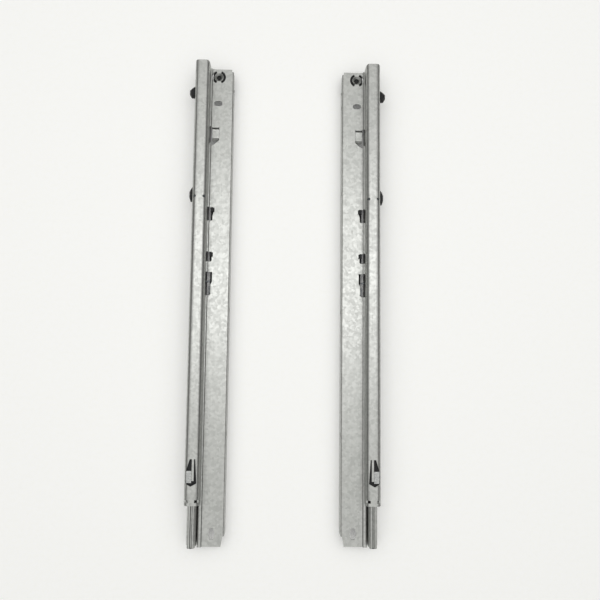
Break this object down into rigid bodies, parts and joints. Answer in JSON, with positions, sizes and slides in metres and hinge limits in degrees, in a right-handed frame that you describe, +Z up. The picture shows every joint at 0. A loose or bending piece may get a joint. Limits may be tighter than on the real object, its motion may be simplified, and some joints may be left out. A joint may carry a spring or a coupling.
{
  "type": "concealed drawer slides",
  "caption": "Concealed full-extension drawer slides, left and right: cabinet, middle and drawer rails running on ball cages, with a soft-close unit under the web.",
  "frame": {"origin": "middle of the pair, on the surface it lies on", "axes": "+Y towards the front, the way the drawer opens; +Z up, towards the drawer; +X to the right, across the pair"},
  "size_m": [0.2088, 0.5028, 0.032],
  "materials": {
    "zinc_plate": "zinc plated, satin with faint spangle",
    "bright_steel": "bright zinc plated",
    "rivet_steel": "dull plated",
    "cage_steel": "bright rolled strip",
    "spring_steel": "drawn wire",
    "dark_nylon": "moulded, fine matt",
    "grey_acetal": "moulded, satin",
    "rubber": "matt"
  },
  "bodies": {
    "root": {"left_cabinet_rail": "zinc_plate", "left_closer_housing": "dark_nylon", "left_damper_cylinder": "grey_acetal", "left_spring_anchor": "bright_steel", "left_front_buffer": "rubber", "left_rear_buffer": "rubber", "left_closer_spring": "spring_steel", "left_front_plug": "dark_nylon", "right_cabinet_rail": "zinc_plate", "right_closer_housing": "dark_nylon", "right_damper_cylinder": "grey_acetal", "right_spring_anchor": "bright_steel", "right_front_buffer": "rubber", "right_rear_buffer": "rubber", "right_closer_spring": "spring_steel", "right_front_plug": "dark_nylon"},
    "left_middle": {"left_middle_rail": "zinc_plate"},
    "left_drawer": {"left_drawer_rail": "zinc_plate", "left_hook_block": "bright_steel", "left_hook_plate": "dark_nylon", "left_front_guide": "dark_nylon", "left_second_guide": "dark_nylon", "left_cage_stop": "dark_nylon", "left_rivet_outer": "rivet_steel", "left_rivet_inner": "rivet_steel", "left_closer_tab": "bright_steel"},
    "left_lower_cage": {"left_lower_ball_cage": "cage_steel"},
    "left_upper_cage": {"left_upper_ball_cage": "cage_steel"},
    "left_carriage": {"left_closer_carriage": "grey_acetal", "left_damper_rod": "bright_steel"},
    "right_middle": {"right_middle_rail": "zinc_plate"},
    "right_drawer": {"right_drawer_rail": "zinc_plate", "right_hook_block": "bright_steel", "right_hook_plate": "dark_nylon", "right_front_guide": "dark_nylon", "right_second_guide": "dark_nylon", "right_cage_stop": "dark_nylon", "right_rivet_outer": "rivet_steel", "right_rivet_inner": "rivet_steel", "right_closer_tab": "bright_steel"},
    "right_lower_cage": {"right_lower_ball_cage": "cage_steel"},
    "right_upper_cage": {"right_upper_ball_cage": "cage_steel"},
    "right_carriage": {"right_closer_carriage": "grey_acetal", "right_damper_rod": "bright_steel"}
  },
  "joints": [
    {"name": "left_middle_slide", "type": "slide", "parent": "root", "child": "left_middle", "axis": [0, 1, 0], "range_m": [0, 0.23]},
    {"name": "left_drawer_slide", "type": "slide", "parent": "left_middle", "child": "left_drawer", "axis": [0, 1, 0], "range_m": [0, 0.23]},
    {"name": "left_lower_cage_roll", "type": "slide", "parent": "root", "child": "left_lower_cage", "axis": [0, 1, 0], "range_m": [0, 0.115]},
    {"name": "left_upper_cage_roll", "type": "slide", "parent": "left_middle", "child": "left_upper_cage", "axis": [0, 1, 0], "range_m": [0, 0.115]},
    {"name": "left_closer_slide", "type": "slide", "parent": "root", "child": "left_carriage", "axis": [0, 1, 0], "range_m": [0, 0.013], "stiffness_N_per_m": 150, "springref_m": -0.02, "deforming": ["left_closer_spring"]},
    {"name": "right_middle_slide", "type": "slide", "parent": "root", "child": "right_middle", "axis": [0, 1, 0], "range_m": [0, 0.23]},
    {"name": "right_drawer_slide", "type": "slide", "parent": "right_middle", "child": "right_drawer", "axis": [0, 1, 0], "range_m": [0, 0.23]},
    {"name": "right_lower_cage_roll", "type": "slide", "parent": "root", "child": "right_lower_cage", "axis": [0, 1, 0], "range_m": [0, 0.115]},
    {"name": "right_upper_cage_roll", "type": "slide", "parent": "right_middle", "child": "right_upper_cage", "axis": [0, 1, 0], "range_m": [0, 0.115]},
    {"name": "right_closer_slide", "type": "slide", "parent": "root", "child": "right_carriage", "axis": [0, 1, 0], "range_m": [0, 0.013], "stiffness_N_per_m": 150, "springref_m": -0.02, "deforming": ["right_closer_spring"]}
  ],
  "couplings": [
    {"joint": "left_lower_cage_roll", "follows": "left_middle_slide", "ratio": 0.5},
    {"joint": "left_upper_cage_roll", "follows": "left_drawer_slide", "ratio": 0.5},
    {"joint": "right_lower_cage_roll", "follows": "right_middle_slide", "ratio": 0.5},
    {"joint": "right_upper_cage_roll", "follows": "right_drawer_slide", "ratio": 0.5}
  ]
}
